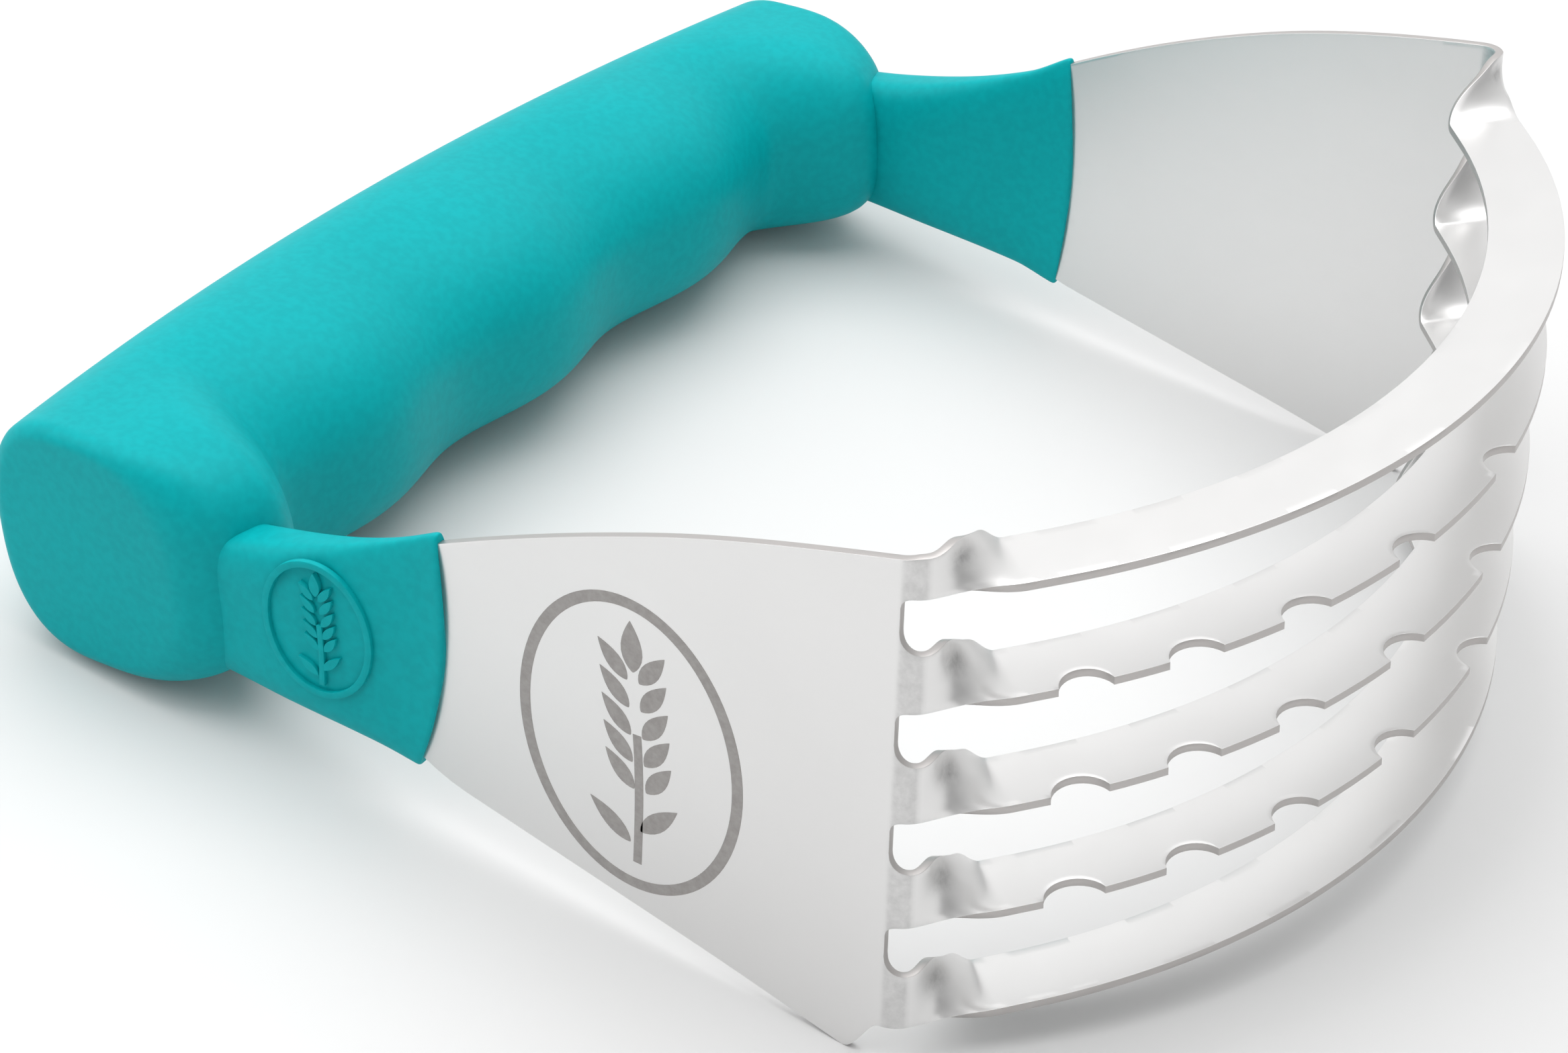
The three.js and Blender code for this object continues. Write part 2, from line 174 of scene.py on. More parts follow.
def line_at(s):
    """x, y and outward direction on the middle blade's plane; s = 0 where the bend starts."""
    if s <= 0:
        return BEND_START_X + s, PLATE_Y, 0.0, 1.0
    if s <= BEND_LENGTH:
        angle = math.pi / 2 - s / BEND_RADIUS
        out_x, out_y = math.cos(angle), math.sin(angle)
        return BEND_START_X + BEND_RADIUS * out_x, PLATE_Y - BEND_RADIUS * (1 - out_y), out_x, out_y
    if s <= STRAIGHT_END:
        out_x, out_y = math.cos(ROUND_END), math.sin(ROUND_END)
        left = STRAIGHT_END - s
        return TANGENT_X - left * out_y, TANGENT_Y + left * out_x, out_x, out_y
    angle = ROUND_END - (s - STRAIGHT_END) / ROUND_RADIUS
    out_x, out_y = math.cos(angle), math.sin(angle)
    return ROUND_CENTRE_X + ROUND_RADIUS * out_x, ROUND_RADIUS * out_y, out_x, out_y


def slanted_line(s, z):
    """The same at height z: the stack leans out towards the top."""
    x, y, out_x, out_y = line_at(s)
    lean = STACK_SLANT * step(BEND_START_X - SLANT_REACH, BEND_START_X, x)
    return x + lean * z, y, out_x, out_y


def strip_plane(k):
    """Height of a blade's plane; k counts up from the lowest blade."""
    return (k - (BLADE_COUNT - 1) / 2) * BLADE_PITCH


def strip_top(k):
    return min(strip_plane(k) + STRIP_HIGH, FLARE_HALF)


def flared_edge(x, flare):
    half, slope, bow = flare
    back = max(FLARE_X - x, 0.0)
    return half - slope * back - bow * back ** 2


def plate_bottom(x):
    """The straighter lower edge, with its step up to the lowest strip before the bend."""
    depth = mix(flared_edge(x, FLARE), LOWER_EDGE + LOWER_SLOPE * x, step(*LOWER_ZONE, x))
    return mix(-depth, strip_plane(0) + STRIP_LOW, step(*CORNER_X, x))


# ---- where the tool frame lies on the table --------------------------------------------------
def tool_to_row():
    """Matrix from tool millimetres to row metres, read off three CAD nodes' boxes."""
    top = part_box("blade_1")[1] * 1000
    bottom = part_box("blade_5")[1] * 1000
    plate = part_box("side_plate_left")[1] * 1000
    rise = (BLADE_COUNT - 1) * BLADE_PITCH
    lean = STACK_SLANT * rise
    reach = math.hypot(lean, rise)
    tilt = math.atan2(lean, rise) - math.asin((top.x - bottom.x) / reach)
    cos, sin = math.cos(tilt), math.sin(tilt)
    front = ROUND_CENTRE_X + ROUND_RADIUS + lean / 2
    shift_x = top.x - (front * cos - (rise / 2 - SHEET / 2) * sin)
    cut = BEND_LENGTH - CUT_HALF_GAP
    level_x, _, out_x, _ = line_at(cut)
    edge = flared_edge(level_x, FLARE)
    edge_x = slanted_line(cut, edge)[0] + out_x * SHEET / 2
    shift_z = plate.z - (edge_x * sin + edge * cos)
    turn = Matrix(((cos, 0, -sin, shift_x), (0, 1, 0, 0), (sin, 0, cos, shift_z), (0, 0, 0, 1)))
    return Matrix.Scale(0.001, 4) @ turn


TO_ROW = tool_to_row()


# ---- materials -------------------------------------------------------------------------------
class Nodes:
    """Adds nodes to a tree and links them, one statement a node."""

    def __init__(self, tree):
        self.tree = tree
        tree.nodes.clear()

    def add(self, kind, links=None, **settings):
        node = self.tree.nodes.new(kind)
        for name, value in settings.items():
            setattr(node, name, value)
        for socket, value in (links or {}).items():
            if isinstance(value, bpy.types.NodeSocket):
                self.tree.links.new(value, node.inputs[socket])
            else:
                node.inputs[socket].default_value = value
        return node


def new_material(name):
    material = bpy.data.materials.new(name)
    material.use_nodes = True
    return material, Nodes(material.node_tree)


def ramp(nodes, factor, low, high, start=0.0, end=1.0):
    """A colour between low and high as factor goes from start to end."""
    node = nodes.add("ShaderNodeValToRGB", {"Fac": factor})
    node.color_ramp.elements[0].position = start
    node.color_ramp.elements[0].color = (*low, 1)
    node.color_ramp.elements[1].position = end
    node.color_ramp.elements[1].color = (*high, 1)
    return node.outputs["Color"]


def noise(nodes, vector, scale, detail=2.0, roughness=0.5):
    return nodes.add("ShaderNodeTexNoise", {
        "Vector": vector, "Scale": scale, "Detail": detail, "Roughness": roughness,
    }).outputs["Fac"]


def ranged(nodes, value, low, high):
    return nodes.add("ShaderNodeMapRange", {
        "Value": value, "From Min": 0.3, "From Max": 0.7, "To Min": low, "To Max": high,
    }).outputs["Result"]


def rubber_material(name, dark, light):
    """Soft-touch rubber: matt, finely grained, with a faint cloudiness."""
    material, nodes = new_material(name)
    place = nodes.add("ShaderNodeTexCoord").outputs["Object"]
    cloud = noise(nodes, place, 70, 3.0)
    grain = noise(nodes, place, 2600, 2.0, 0.6)
    speck = noise(nodes, place, 1100, 1.0)
    colour = ramp(nodes, cloud, dark, light, 0.3, 0.7)
    fleck = ramp(nodes, speck, (0.96, 0.96, 0.96), (1.04, 1.04, 1.04), 0.35, 0.68)
    base = nodes.add("ShaderNodeMix", data_type="RGBA", blend_type="MULTIPLY")
    base.inputs["Factor"].default_value = 1.0
    nodes.tree.links.new(colour, base.inputs["A"])
    nodes.tree.links.new(fleck, base.inputs["B"])
    bump = nodes.add("ShaderNodeBump", {"Strength": 0.08, "Distance": 0.0001, "Height": grain})
    shader = nodes.add("ShaderNodeBsdfPrincipled", {
        "Base Color": base.outputs["Result"],
        "Roughness": ranged(nodes, cloud, 0.46, 0.54),
        "Specular IOR Level": 0.1,
        "Normal": bump.outputs["Normal"],
    })
    nodes.add("ShaderNodeOutputMaterial", {"Surface": shader.outputs["BSDF"]})
    return material


def steel_material(name, colour, rough, streak_strength, paint_press_shade):
    """Satin steel with a fine rolled grain; when the last argument is set, painted shade darkens the
    bend and the twist dimples in a grey broken up by noise, and roughens them a little.
    """
    material, nodes = new_material(name)
    place = nodes.add("ShaderNodeTexCoord").outputs["Object"]
    stretch = nodes.add("ShaderNodeMapping", {"Vector": place, "Scale": (1.0, 1.0, 9.0)})
    streaks = noise(nodes, stretch.outputs["Vector"], 160, 3.0, 0.6)
    patches = noise(nodes, place, 40, 2.0)
    grain = noise(nodes, place, 3000, 2.0)
    low = tuple(c * 0.975 for c in colour)
    base = ramp(nodes, patches, low, colour, 0.3, 0.7)
    roughness = ranged(nodes, streaks, rough - 0.02, rough + 0.02)
    if paint_press_shade:
        # painted shade: the press attribute, broken up by noise, mixes dark grey in along the bend and
        # in the twist dimples
        press = nodes.add("ShaderNodeAttribute", attribute_name="press").outputs["Fac"]
        shade_noise = noise(nodes, place, 900, 3.0, 0.7)
        mottled_shade = nodes.add("ShaderNodeMath", {0: press, 1: shade_noise}, operation="MULTIPLY")
        shaded_base = nodes.add("ShaderNodeMix", data_type="RGBA")
        nodes.tree.links.new(mottled_shade.outputs["Value"], shaded_base.inputs["Factor"])
        nodes.tree.links.new(base, shaded_base.inputs["A"])
        shaded_base.inputs["B"].default_value = (0.2, 0.2, 0.2, 1)
        base = shaded_base.outputs["Result"]
        extra = nodes.add("ShaderNodeMath", {0: press, 1: 0.12, 2: roughness},
                          operation="MULTIPLY_ADD")
        roughness = extra.outputs["Value"]
    height = nodes.add("ShaderNodeMath", {0: streaks, 1: 0.3, 2: grain}, operation="MULTIPLY_ADD")
    bump = nodes.add("ShaderNodeBump", {
        "Strength": streak_strength, "Distance": 0.00004, "Height": height.outputs["Value"],
    })
    shader = nodes.add("ShaderNodeBsdfPrincipled", {
        "Base Color": base,
        "Metallic": 0.8,
        "Roughness": roughness,
        "Normal": bump.outputs["Normal"],
    })
    nodes.add("ShaderNodeOutputMaterial", {"Surface": shader.outputs["BSDF"]})
    return material


def etched_material():
    """The dull grey surface that an etched or lasered mark leaves on steel."""
    material, nodes = new_material("etched_steel")
    place = nodes.add("ShaderNodeTexCoord").outputs["Object"]
    mottle = noise(nodes, place, 1500, 3.0, 0.6)
    base = ramp(nodes, mottle, (0.29, 0.275, 0.265), (0.37, 0.355, 0.345), 0.3, 0.7)
    bump = nodes.add("ShaderNodeBump", {"Strength": 0.2, "Distance": 0.00005, "Height": mottle})
    shader = nodes.add("ShaderNodeBsdfPrincipled", {
        "Base Color": base,
        "Metallic": 0.25,
        "Roughness": ranged(nodes, mottle, 0.55, 0.7),
        "Normal": bump.outputs["Normal"],
    })
    nodes.add("ShaderNodeOutputMaterial", {"Surface": shader.outputs["BSDF"]})
    return material


def floor_material():
    material, nodes = new_material("studio_floor")
    place = nodes.add("ShaderNodeTexCoord").outputs["Object"]
    soft = noise(nodes, place, 3, 2.0)
    base = ramp(nodes, soft, (0.68, 0.68, 0.68), (0.69, 0.69, 0.69))
    shader = nodes.add("ShaderNodeBsdfPrincipled", {
        "Base Color": base, "Roughness": 0.9, "Specular IOR Level": 0.0,
    })
    nodes.add("ShaderNodeOutputMaterial", {"Surface": shader.outputs["BSDF"]})
    return material


TEAL = rubber_material("teal_rubber", (0.0, 0.335, 0.36), (0.0, 0.355, 0.38))
# satin steel with painted shade in its bend and twist dimples; the sheared edge without
STEEL = steel_material("satin_steel", (0.77, 0.765, 0.76), 0.32, 0.03, True)
STEEL_EDGE = steel_material("sheared_edge", (0.5, 0.48, 0.47), 0.42, 0.25, False)
ETCHED = etched_material()


# ---- making objects ----------------------------------------------------------------------------
def make_object(name, points, faces, materials):
    """A smooth-shaded mesh from tool-frame points, set in the row frame."""
    mesh = bpy.data.meshes.new(name)
    mesh.from_pydata([TO_ROW @ Vector(p) for p in points], [], faces)
    mesh.validate()
    work = bmesh.new()
    work.from_mesh(mesh)
    bmesh.ops.remove_doubles(work, verts=work.verts, dist=1e-7)
    bmesh.ops.recalc_face_normals(work, faces=work.faces)
    for face in work.faces:
        face.smooth = True
    work.to_mesh(mesh)
    work.free()
    for material in materials:
        mesh.materials.append(material)
    piece = bpy.data.objects.new(name, mesh)
    bpy.context.scene.collection.objects.link(piece)
    return piece


def soften_edges(piece, width, segments=2, angle=40):
    """Rounds a piece's sharp edges a little, and keeps its flat faces flat."""
    bevel = piece.modifiers.new("edge_rounding", "BEVEL")
    bevel.width = width * 0.001
    bevel.segments = segments
    bevel.limit_method = "ANGLE"
    bevel.angle_limit = math.radians(angle)
    bevel.use_clamp_overlap = True
    normals = piece.modifiers.new("flat_faces", "WEIGHTED_NORMAL")
    normals.keep_sharp = True


# ---- the pressed head: side plates and blades out of one sheet ------------------------------------
def notch_edge():
    """Half angle of a scallop, and its depth at an angle from its middle."""
    centre = ROUND_RADIUS + NOTCH_RADIUS - NOTCH_DEPTH
    cos_half = (ROUND_RADIUS ** 2 + centre ** 2 - NOTCH_RADIUS ** 2) / (2 * ROUND_RADIUS * centre)

    def depth(angle):
        square = NOTCH_RADIUS ** 2 - (centre * math.sin(angle)) ** 2
        if square <= 0:
            return 0.0
        return max(ROUND_RADIUS - (centre * math.cos(angle) - math.sqrt(square)), 0.0)

    return math.acos(cos_half), depth


NOTCH_HALF, NOTCH_DEPTH_AT = notch_edge()


def notch_depth(s, side):
    """Depth of the scalloped edge at s on the half of a blade on that side."""
    angle = -side * (ROUND_END - (s - STRAIGHT_END) / ROUND_RADIUS)
    return max(NOTCH_DEPTH_AT(angle - notch) for notch in NOTCH_ANGLES)


SLOT_S = BEND_RADIUS * math.asin((SLOT_START_X - BEND_START_X) / BEND_RADIUS)
TWIST_END = BEND_LENGTH + TWIST_LENGTH
TURN_ZONE = (TWIST_END, STRAIGHT_END + (ROUND_END - NOTCH_ANGLES[1]) * ROUND_RADIUS)


def stations(side):
    """Places along one half of the sheet, crowded where it turns, twists or is notched."""
    start = PLATE_START_X - BEND_START_X
    corner = CORNER_X[0] - BEND_START_X
    places = list(np.linspace(start, corner - 0.4, 44))
    places += list(np.linspace(corner, SLOT_S - 0.1, 20))
    places += [SLOT_S + d for d in (0.0, 0.06, 0.18, 0.36, 0.6, 0.9, 1.2, 1.5, 1.8, 2.1)]
    places += list(np.linspace(BEND_LENGTH + 0.1, TWIST_END, 34))
    reach = NOTCH_HALF * ROUND_RADIUS
    angles = [-side * angle for angle in NOTCH_ANGLES if -side * angle > 0]
    notches = [STRAIGHT_END + (ROUND_END - angle) * ROUND_RADIUS for angle in angles]
    plain = notches[0] - reach - TWIST_END - 0.3
    places += list(np.linspace(TWIST_END + 0.3, notches[0] - reach, 4 + int(plain / 2.5)))
    turns = np.linspace(-math.pi / 2, math.pi / 2, 17)[1:]
    for middle, after in zip(notches, [notch - reach for notch in notches[1:]] + [MIDDLE]):
        places += [middle + reach * math.sin(turn) for turn in turns]
        places += list(np.linspace(middle + reach, after, 5))[1:]
    return places


def slot_rounding(s, radius):
    """How far a slot's edge still is from its full width, near its blind end."""
    run = line_at(s)[0] - SLOT_START_X
    if s < SLOT_S or run >= radius:
        return 0.0 if run >= radius else radius
    return radius - math.sqrt(max(radius ** 2 - (radius - run) ** 2, 0.0))


def strip_edges(s, side):
    """Lower and upper edge heights of the five strips at s, before they twist."""
    past = max(s, SLOT_S)
    x = line_at(past)[0]
    edges = []
    for k in range(BLADE_COUNT):
        low = strip_plane(k) + STRIP_LOW
        high = strip_top(k)
        if k > 0:
            low -= slot_rounding(past, SLOT_CORNERS[0])
        if k < BLADE_COUNT - 1:
            high += slot_rounding(past, SLOT_CORNERS[1])
        else:
            high = min(high, flared_edge(x, FLARES[side]))
        edges += [low, high]
    if s < SLOT_S:
        here = line_at(s)[0]
        bottom, top = plate_bottom(here), flared_edge(here, FLARES[side])
        spread = [(edge - edges[0]) / (edges[-1] - edges[0]) for edge in edges]
        edges = [mix(bottom, top, share) for share in spread]
    return edges


def dimple(s, share):
    """Depth of the round hollow that the twisting tool presses into each strip."""
    along = (s - BEND_LENGTH - DIMPLE_PLACE[0]) / DIMPLE_SIZE[0]
    across = (share - DIMPLE_PLACE[1]) / DIMPLE_SIZE[1]
    return DIMPLE_DEPTH * math.exp(-(along ** 2 + across ** 2))


def bend_shade_weight(s):
    """How much painted shade darkens the steel along the bend."""
    return 0.5 * step(0.1, 0.6, s) * (1 - step(BEND_LENGTH - 0.5, BEND_LENGTH, s))


def on_strip(k, s, side, share, edges):
    """A point of strip k at s, share of the way from its lower to its upper edge."""
    plane = strip_plane(k)
    low, high = edges[2 * k], edges[2 * k + 1]
    flat = step(0.0, TWIST_LENGTH, s - BEND_LENGTH)
    angle = math.pi / 2 * flat
    neck = 1 - TWIST_NECK * math.sin(2 * angle) ** 2
    width = mix(high - low, BLADE_WIDTH, flat) * neck
    scallop = 0.0 if k in (0, BLADE_COUNT - 1) else notch_depth(s, side)
    across = scallop + share * (width - scallop)
    height = low + share * (high - low)
    lean_at = mix(height, plane, step(SLOT_S, BEND_LENGTH + LEVEL_LENGTH, s))
    turn = side * NOTCH_TURN * (k - BLADE_COUNT // 2) * ROUND_RADIUS
    x, y, out_x, out_y = slanted_line(s + turn * step(*TURN_ZONE, s), lean_at)
    press = dimple(s, share)
    out = -across * math.sin(angle) - press * math.cos(angle)
    up = (across + low - plane) * math.cos(angle) - press * math.sin(angle)
    return x + out_x * out, side * (y + out_y * out), plane + up


def sheet_mesh():
    """The middle of the whole sheet: its points, faces, and how much painted shade each point takes.
    """
    columns = [(s, 1) for s in stations(1)] + [(s, -1) for s in reversed(stations(-1)[:-1])]
    band = STRIP_ROWS + SLOT_ROWS
    rows = BLADE_COUNT * STRIP_ROWS + (BLADE_COUNT - 1) * SLOT_ROWS
    points, shade_by_point, index = [], [], {}
    for c, (s, side) in enumerate(columns):
        edges = strip_edges(s, side)
        for r in range(rows + 1):
            k, within = divmod(r, band)
            if within <= STRIP_ROWS:
                share = within / STRIP_ROWS
                point = on_strip(k, s, side, share, edges)
                # painted shade weight: half along the bend, full in the middle of each twist dimple
                shade_at_point = max(bend_shade_weight(s), dimple(s, share) / DIMPLE_DEPTH)
            elif s <= SLOT_S + SAME_PLACE:
                z = mix(edges[2 * k + 1], edges[2 * k + 2], (within - STRIP_ROWS) / SLOT_ROWS)
                x, y, _, _ = slanted_line(s, z)
                point = (x, side * y, z)
                shade_at_point = bend_shade_weight(s)
            else:
                continue
            index[c, r] = len(points)
            points.append(point)
            shade_by_point.append(shade_at_point)
    faces = []
    for c in range(len(columns) - 1):
        for r in range(rows):
            corners = [(c, r), (c + 1, r), (c + 1, r + 1), (c, r + 1)]
            in_slot = r % band >= STRIP_ROWS
            whole = max(columns[c][0], columns[c + 1][0]) <= SLOT_S + SAME_PLACE
            if whole or not in_slot:
                faces.append([index[corner] for corner in corners])
    return points, faces, shade_by_point


def head():
    """Plates, bends, twists and scalloped blades as one sheet, then given its thickness."""
    points, faces, shade_by_point = sheet_mesh()
    piece = make_object("pressed_head", points, faces, [STEEL, STEEL_EDGE])
    # the press attribute carries the painted shade weights to the steel material
    press = piece.data.attributes.new("press", "FLOAT", "POINT")
    press.data.foreach_set("value", shade_by_point)
    thick = piece.modifiers.new("sheet", "SOLIDIFY")
    thick.thickness = SHEET * 0.001
    thick.offset = 0.0
    thick.use_even_offset = True
    thick.material_offset_rim = 1
    soften_edges(piece, 0.1)
    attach(piece, "root")
    blades = [f"blade_{i + 1}" for i in range(BLADE_COUNT)]
    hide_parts("side_plate_left", "side_plate_right", *blades)
    return piece


# ---- the grip ---------------------------------------------------------------------------------
def ridge(y):
    """1 on the ridges between the fingers and 0 in the middle of a groove."""
    return 0.5 + 0.5 * math.cos(2 * math.pi * y / GROOVE_STEP)


def block(y):
    """0 along the fingers and 1 on the blocks at the ends."""
    return step(*BLOCK_ZONE, abs(y))


def bar_front(y):
    fingers = RIDGE_FRONT_X - GROOVE_DEPTH * (1 - ridge(y))
    outward = max(abs(y) - BLOCK_CORNER_Y, 0.0) / (HANDLE_HALF_LENGTH - BLOCK_CORNER_Y)
    corner = BLOCK_CORNER * outward ** BLOCK_CORNER_POWER
    return mix(fingers, BLOCK_FRONT_X - corner, block(y))


def bar_back(y):
    return BACK_X + BACK_ARCH * (y / HANDLE_HALF_LENGTH) ** 2


def bar_point(y, angle):
    """A point on the grip's surface at y and an angle round the bar."""
    crest = bar_back(y) + CREST
    cos, sin = math.cos(angle), math.sin(angle)
    rounding = mix(*END_ROUNDING, step(0.0, 1.0, cos))
    reach = max(abs(y) - (HANDLE_HALF_LENGTH - rounding), 0.0) / rounding
    draw = rounding * (1 - math.sqrt(max(1 - reach ** 2, 0.0))) + TAPER * y
    half = HALF_HEIGHT - draw
    if cos < 0:
        depth = CREST - draw
        x, z = depth * squared(cos, BACK_SQUARENESS), half * squared(sin, BACK_SQUARENESS)
        return crest + x, z - TILT * y
    depth = bar_front(y) - crest - draw
    power = mix(FINGER_SQUARENESS if sin > 0 else FINGER_BELLY, BLOCK_SQUARENESS, block(y))
    shoulder = GROOVE_SHOULDER if sin > 0 else 0.0
    pinch = 1 - shoulder * (1 - ridge(y)) * (1 - block(y)) * cos
    return crest + depth * squared(cos, power), half * squared(sin, power) * pinch - TILT * y


def bar_places():
    """Places along the grip, crowded on its rounded borders."""
    plain = HANDLE_HALF_LENGTH - END_ROUNDING[1]
    turns = [END_ROUNDING[1] * math.sin(math.pi / 2 * i / 14) for i in range(1, 15)]
    middle = list(np.linspace(-plain, plain, 141))
    return [-plain - turn for turn in reversed(turns)] + middle + [plain + turn for turn in turns]


def tube(rings, end_centres):
    """Faces and points of a closed tube through rings, with its ends drawn in to centres."""
    around = len(rings[0])
    shares = (0.93, 0.8, 0.6, 0.3)
    first = [[mix_point(end_centres[0], p, share) for p in rings[0]] for share in reversed(shares)]
    last = [[mix_point(end_centres[1], p, share) for p in rings[-1]] for share in shares]
    every = first + list(rings) + last
    points = [p for ring in every for p in ring]
    faces = []
    for r in range(len(every) - 1):
        for i in range(around):
            j = (i + 1) % around
            base, above = r * around, (r + 1) * around
            faces.append([base + i, base + j, above + j, above + i])
    points += [end_centres[0], end_centres[1]]
    near, far = len(points) - 2, len(points) - 1
    top = (len(every) - 1) * around
    for i in range(around):
        j = (i + 1) % around
        faces.append([near, j, i])
        faces.append([far, top + i, top + j])
    return points, faces


def grip():
    around = 128
    rings = []
    for y in bar_places():
        ring = []
        for i in range(around):
            x, z = bar_point(y, 2 * math.pi * i / around)
            ring.append((x, y, z))
        rings.append(ring)
    ends = []
    for y in (-HANDLE_HALF_LENGTH, HANDLE_HALF_LENGTH):
        ends.append((bar_back(y) + CREST, y, 0.0))
    points, faces = tube(rings, ends)
    piece = make_object("soft_grip", points, faces, [TEAL])
    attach(piece, "root")
    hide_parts("grip_skin", "handle_core")
    return piece


# ---- sleeves ----------------------------------------------------------------------------------
def sleeve_half_height(x, edge):
    half, slope, bow = edge
    return half + slope * x + bow * x ** 2


def sleeve_half_thickness(x):
    return mix(*SLEEVE_HALF_THICKNESS, step(BLOCK_FRONT_X, SLEEVE_THIN_X, x))


def sleeve_end(side, share):
    """x of the bowed, leaning plate end at a share of the half height."""
    end, bow, lean, _ = SLEEVE_ENDS[side]
    return end + bow * (1 - share ** 2) + lean * share


def sleeve_outline(angle):
    """Shares of the half thickness and half height round a section with soft corners."""
    power = SLEEVE_SQUARENESS
    return squared(math.cos(angle), power), squared(math.sin(angle), power)


def sleeve(side, name):
    around = 120
    alongs = list(np.linspace(0.0, 0.95, 44)) + [0.965, 0.978, 0.987, 0.993, 0.997, 1.0]
    rings = []
    for along in alongs:
        end_turn = max((along - SLEEVE_EDGE_START) / (1 - SLEEVE_EDGE_START), 0.0)
        draw = SLEEVE_EDGE_ROUNDING * (1 - math.sqrt(1 - min(end_turn, 1.0) ** 2))
        ring = []
        for i in range(around):
            across_y, across_z = sleeve_outline(2 * math.pi * i / around)
            x = mix(SLEEVE_ROOT_X, sleeve_end(side, across_z), along)
            half_z = sleeve_half_height(x, SLEEVE_TOP if across_z > 0 else SLEEVE_DEPTH)
            half_z += SLEEVE_ENDS[side][3] * step(SLEEVE_LIP_START, 1.0, along) - draw
            half_y = sleeve_half_thickness(x) - draw
            ring.append((x, side * (PLATE_Y + across_y * half_y), across_z * half_z))
        rings.append(ring)
    ends = [(SLEEVE_ROOT_X, side * PLATE_Y, 0.0), (sleeve_end(side, 0.0), side * PLATE_Y, 0.0)]
    points, faces = tube(rings, ends)
    piece = make_object(name, points, faces, [TEAL])
    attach(piece, "root")
    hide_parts(name.replace("sleeve_cover", "sleeve"))
    return piece


# ---- the generic wheat-ear mark -------------------------------------------------------------------
def leaf(x, z, length, width, lean):
    """A pointed leaf from (x, z), leaning away from upright by lean."""
    outline = []
    for i in range(24):
        turn = 2 * math.pi * i / 24
        along = 0.5 - 0.5 * math.cos(turn)
        out = math.copysign(width / 2 * math.sin(math.pi * along ** 0.8) ** 0.9, math.sin(turn))
        if i in (0, 12):
            out = 0.0
        outline.append((
            x + along * length * math.sin(lean) + out * math.cos(lean),
            z + along * length * math.cos(lean) - out * math.sin(lean),
        ))
    return outline


def ribbon(path, width, closed):
    """Quads along a path, width wide."""
    quads, sides = [], []
    count = len(path)
    for i, (x, z) in enumerate(path):
        before = path[i - 1] if closed or i > 0 else path[i]
        after = path[(i + 1) % count] if closed or i < count - 1 else path[i]
        dx, dz = after[0] - before[0], after[1] - before[1]
        size = math.hypot(dx, dz)
        nx, nz = -dz / size * width / 2, dx / size * width / 2
        sides.append(((x + nx, z + nz), (x - nx, z - nz)))
    for i in range(count if closed else count - 1):
        a, b = sides[i], sides[(i + 1) % count]
        quads.append((a[0], a[1], b[1], b[0]))
    return quads


def wheat_mark(width, height, line):
    """An ear of wheat in an oval ring, as ribbons of quads and closed leaves."""
    ring = []
    for i in range(96):
        turn = 2 * math.pi * i / 96
        ring.append(((width - line) / 2 * math.cos(turn), (height - line) / 2 * math.sin(turn)))
    unit = height / 32
    stem = [(0.9 * unit * math.sin(t * 1.6), (-13.0 + 14.5 * t) * unit) for t in np.linspace(0, 1, 14)]
    leaves = [leaf(0.9 * unit, 8.2 * unit, 5.4 * unit, 2.3 * unit, 0.0)]
    for i in range(5):
        z = (-4.6 + 2.95 * i) * unit
        for way in (-1, 1):
            x = (0.85 + way * 0.65) * unit
            leaves.append(leaf(x, z, 4.6 * unit, 1.8 * unit, way * 0.68))
    for way, z in ((-1, -10.8), (1, -9.2)):
        leaves.append(leaf(way * 0.6 * unit, z * unit, 5.6 * unit, 1.9 * unit, way * 0.85))
    return [ribbon(ring, line, True), ribbon(stem, line * 0.8, False)], leaves


def relief(name, ribbons, leaves, surface, height, materials, rounding):
    """Raised prisms over a surface: surface(x, z, out) gives a tool-frame point."""
    points, faces = [], []

    def prism(outline):
        start = len(points)
        count = len(outline)
        for x, z in outline:
            points.append(surface(x, z, height))
        for x, z in outline:
            points.append(surface(x, z, -MARK_ROOT))
        faces.append(list(range(start, start + count)))
        faces.append(list(range(start + 2 * count - 1, start + count - 1, -1)))
        for i in range(count):
            j = (i + 1) % count
            faces.append([start + i, start + count + i, start + count + j, start + j])

    def band(quads, closed):
        start = len(points)
        rims = [(q[0], q[1]) for q in quads]
        if not closed:
            rims.append((quads[-1][3], quads[-1][2]))
        for left, right in rims:
            points.append(surface(*left, height))
            points.append(surface(*right, height))
            points.append(surface(*right, -MARK_ROOT))
            points.append(surface(*left, -MARK_ROOT))
        total = len(rims)
        for i in range(total if closed else total - 1):
            a, b = start + 4 * i, start + 4 * ((i + 1) % total)
            for c in range(4):
                d = (c + 1) % 4
                faces.append([a + c, a + d, b + d, b + c])
        if not closed:
            faces.append([start, start + 1, start + 2, start + 3])
            end = start + 4 * (total - 1)
            faces.append([end + 3, end + 2, end + 1, end])

    band(ribbons[0], True)
    band(ribbons[1], False)
    for outline in leaves:
        prism(outline)
    piece = make_object(name, points, faces, materials)
    soften_edges(piece, rounding, 2, 35)
    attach(piece, "root")
    return piece


def plate_mark():
    """The mark etched on the near side plate."""
    ribbons, leaves = wheat_mark(*PLATE_MARK_SIZE)

    def surface(x, z, out):
        return PLATE_MARK_AT[0] + x, -(PLATE_Y + SHEET / 2 + out), PLATE_MARK_AT[1] + z

    height = PLATE_MARK_HEIGHT
    return relief("etched_mark", ribbons, leaves, surface, height, [ETCHED], height / 4)


def sleeve_mark():
    """The smaller raised mark moulded on the near sleeve."""
    ribbons, leaves = wheat_mark(*SLEEVE_MARK_SIZE)

    def surface(x, z, out):
        place = SLEEVE_MARK_AT[0] + x
        return place, -(PLATE_Y + sleeve_half_thickness(place) + out), SLEEVE_MARK_AT[1] + z

    height = SLEEVE_MARK_HEIGHT
    return relief("raised_mark", ribbons, leaves, surface, height, [TEAL], 0.12)


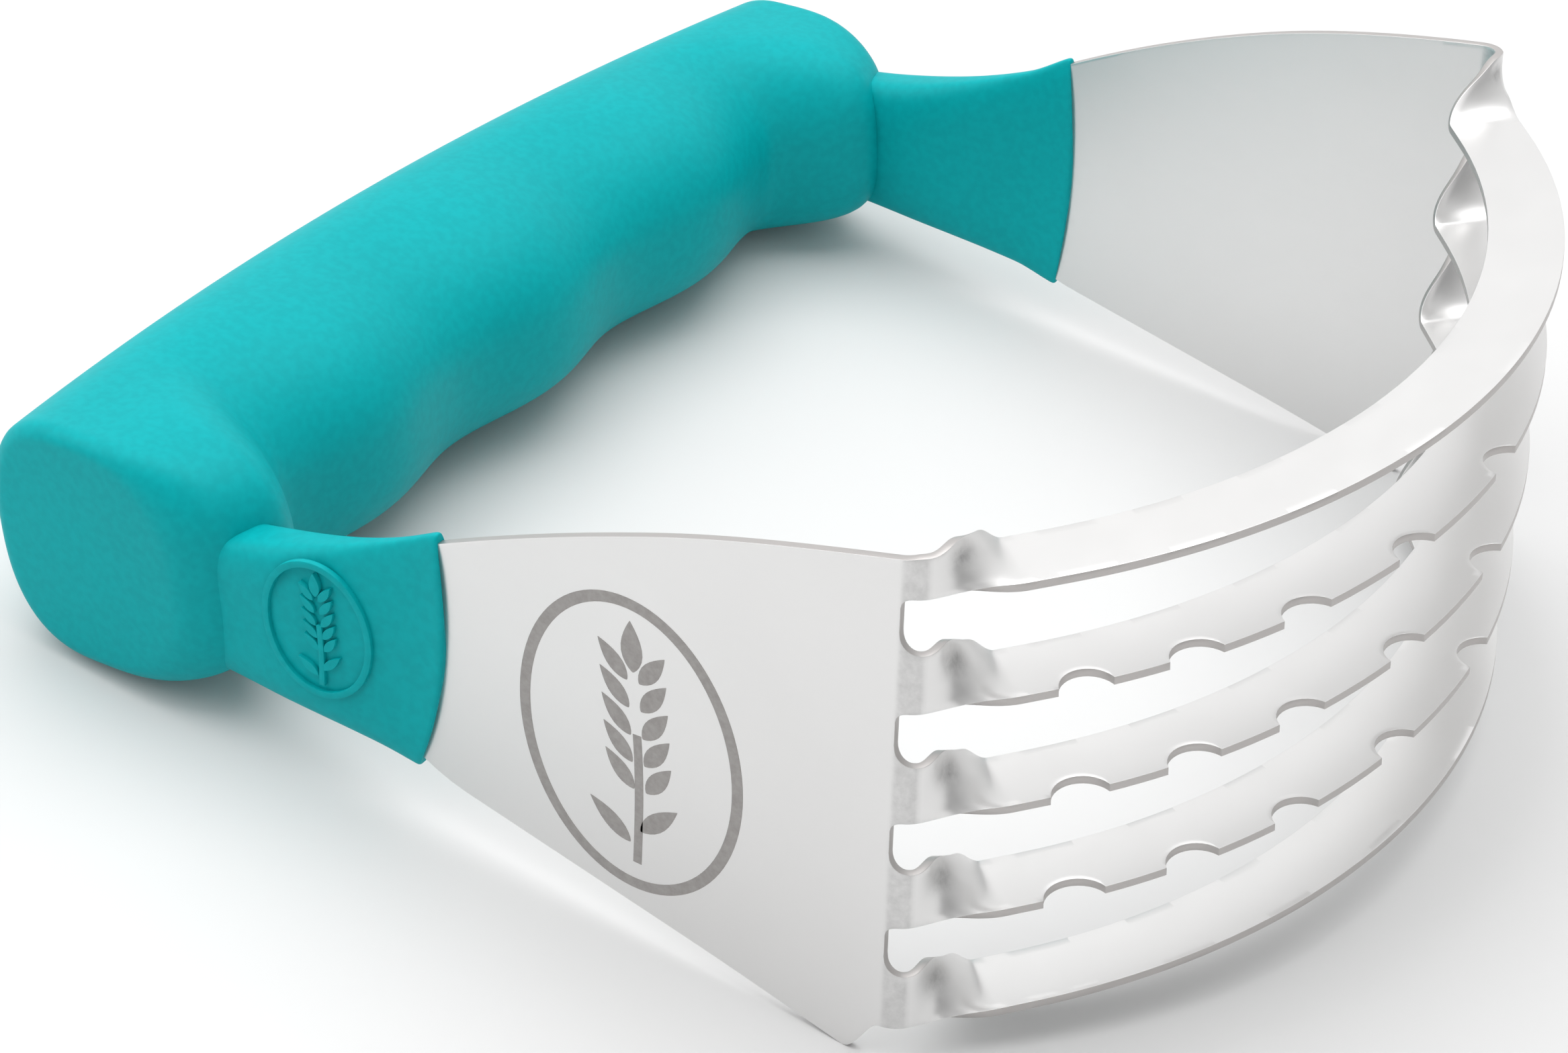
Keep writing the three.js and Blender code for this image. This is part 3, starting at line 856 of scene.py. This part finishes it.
# ---- camera, light and floor ---------------------------------------------------------------------
VIEW_AZIMUTH = math.radians(34.547)     # from the front, -Y, towards +X
VIEW_ELEVATION = math.radians(32.494)
VIEW_ROLL = math.radians(-2.034)
VIEW_DISTANCE = 343.75
VIEW_AIM = Vector((11.96, -9.95, -9.28))
LENS = 78.36
SENSOR = 36.0
LIGHTS = (                      # name, azimuth, elevation, distance and size in metres, watts
    ("key", 215, 80, 1.1, 1.2, 10.5),
    ("fill", -50, 38, 1.2, 1.0, 6.0),
    ("side", 55, 40, 1.2, 1.0, 2.2),
)
WALL_WAY = (-0.56, 0.66, 0.5)   # towards the pale wall behind the part
FLOOR_HALF = 2.5


def add_camera():
    """The camera, placed in the tool frame and carried over to the table with it."""
    back = Vector((
        math.sin(VIEW_AZIMUTH) * math.cos(VIEW_ELEVATION),
        -math.cos(VIEW_AZIMUTH) * math.cos(VIEW_ELEVATION),
        math.sin(VIEW_ELEVATION),
    ))
    level = Vector((math.cos(VIEW_AZIMUTH), math.sin(VIEW_AZIMUTH), 0.0))
    right = Matrix.Rotation(-VIEW_ROLL, 3, -back) @ level
    up = back.cross(right)
    data = bpy.data.cameras.new("camera")
    data.lens = LENS
    data.sensor_width = SENSOR
    data.clip_start = 0.01
    camera = bpy.data.objects.new("camera", data)
    bpy.context.scene.collection.objects.link(camera)
    turn = Matrix((right, up, back)).transposed().to_quaternion()
    place = VIEW_AIM + back * VIEW_DISTANCE
    camera.matrix_world = Matrix.LocRotScale(TO_ROW @ place, TO_ROW.to_quaternion() @ turn, None)
    bpy.context.scene.camera = camera
    return camera


def add_light(name, azimuth, elevation, distance, size, power):
    """A square softbox aimed at the part."""
    data = bpy.data.lights.new(name, "AREA")
    data.shape = "SQUARE"
    data.size = size
    data.energy = power
    light = bpy.data.objects.new(name, data)
    bpy.context.scene.collection.objects.link(light)
    a, e = math.radians(azimuth), math.radians(elevation)
    way = Vector((math.sin(a) * math.cos(e), -math.cos(a) * math.cos(e), math.sin(e)))
    light.location = way * distance
    light.rotation_mode = "QUATERNION"
    light.rotation_quaternion = (-way).to_track_quat("-Z", "Y")
    return light


def add_world():
    """A dim studio with a broad pale wall behind the part."""
    world = bpy.data.worlds.new("studio")
    world.use_nodes = True
    nodes = Nodes(world.node_tree)
    way = nodes.add("ShaderNodeTexCoord").outputs["Generated"]
    toward = nodes.add("ShaderNodeVectorMath", {0: way, 1: WALL_WAY}, operation="DOT_PRODUCT")
    share = nodes.add("ShaderNodeMapRange", {
        "Value": toward.outputs["Value"], "From Min": -0.2, "From Max": 0.85,
        "To Min": 0.0, "To Max": 1.0,
    }).outputs["Result"]
    colour = ramp(nodes, share, (0.28, 0.28, 0.28), (0.94, 0.94, 0.94))
    background = nodes.add("ShaderNodeBackground", {"Color": colour, "Strength": 1.0})
    nodes.add("ShaderNodeOutputWorld", {"Surface": background.outputs["Background"]})
    bpy.context.scene.world = world


def add_floor():
    corners = [(-1, -1), (1, -1), (1, 1), (-1, 1)]
    points = [(x * FLOOR_HALF, y * FLOOR_HALF, 0.0) for x, y in corners]
    mesh = bpy.data.meshes.new("floor")
    mesh.from_pydata(points, [], [(0, 1, 2, 3)])
    mesh.materials.append(floor_material())
    floor = bpy.data.objects.new("floor", mesh)
    bpy.context.scene.collection.objects.link(floor)


# ---- the scene -----------------------------------------------------------------------------------
add_camera()
add_world()
add_floor()
for light in LIGHTS:
    add_light(*light)
head()
grip()
sleeve(-1, "sleeve_cover_left")
sleeve(1, "sleeve_cover_right")
plate_mark()
sleeve_mark()
bpy.context.scene.view_settings.view_transform = "Standard"
